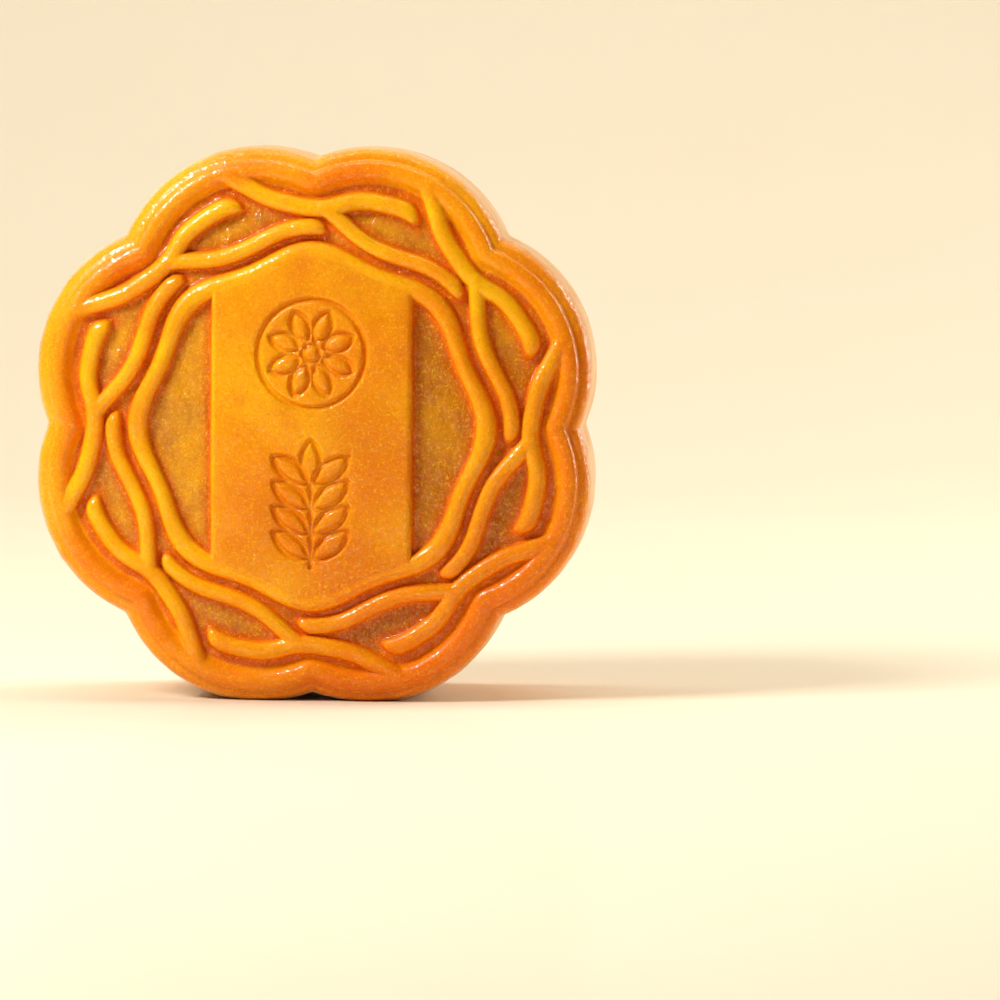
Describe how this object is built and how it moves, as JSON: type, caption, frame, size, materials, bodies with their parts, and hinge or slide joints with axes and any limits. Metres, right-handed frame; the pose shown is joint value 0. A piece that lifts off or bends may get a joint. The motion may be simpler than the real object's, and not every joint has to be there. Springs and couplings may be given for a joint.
{
  "type": "mooncake",
  "caption": "Round baked mooncake with a lobed edge and a moulded top: a raised rim, a wreath of forked strands, a wavy loop and a plain upright panel. It stands on its edge.",
  "frame": {"origin": "middle of the cake's footprint, on the surface that its two lowest lobes stand on", "axes": "the moulded face looks along -Y, the wreath's top is at +Z, and +X is to the right of someone who looks at the face"},
  "size_m": [0.0732, 0.0333, 0.0725],
  "materials": {
    "crust": "glossy egg wash over a browned crust"
  },
  "bodies": {
    "root": {"mooncake": "crust"}
  },
  "joints": []
}
